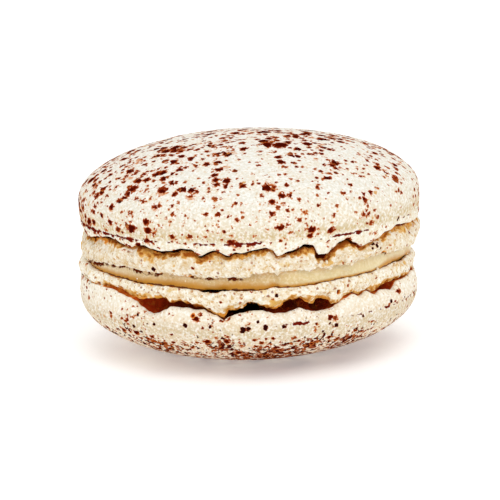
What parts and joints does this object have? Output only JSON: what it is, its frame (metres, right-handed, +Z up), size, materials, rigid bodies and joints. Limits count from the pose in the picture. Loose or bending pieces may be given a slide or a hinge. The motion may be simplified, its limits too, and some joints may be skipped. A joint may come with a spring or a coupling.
{
  "type": "french macaron",
  "caption": "Round sandwich biscuit of domed, cocoa-speckled almond meringue shells with craggy baked feet, joined by a thin layer of pale cream.",
  "frame": {"origin": "centre of the macaron's footprint, at the level of the flat spot under the lower shell", "axes": "+Z up through both shells, -Y towards the front with the deepest cracks, +X to its right"},
  "size_m": [0.0452, 0.0451, 0.0282],
  "materials": {
    "meringue": "matt baked almond meringue, cream-white with dark cocoa specks and caramel-brown crevices",
    "cream": "smooth satin cream, pale beige-yellow"
  },
  "bodies": {
    "root": {"lower_shell": "meringue", "filling": "cream", "upper_shell": "meringue"}
  },
  "joints": []
}
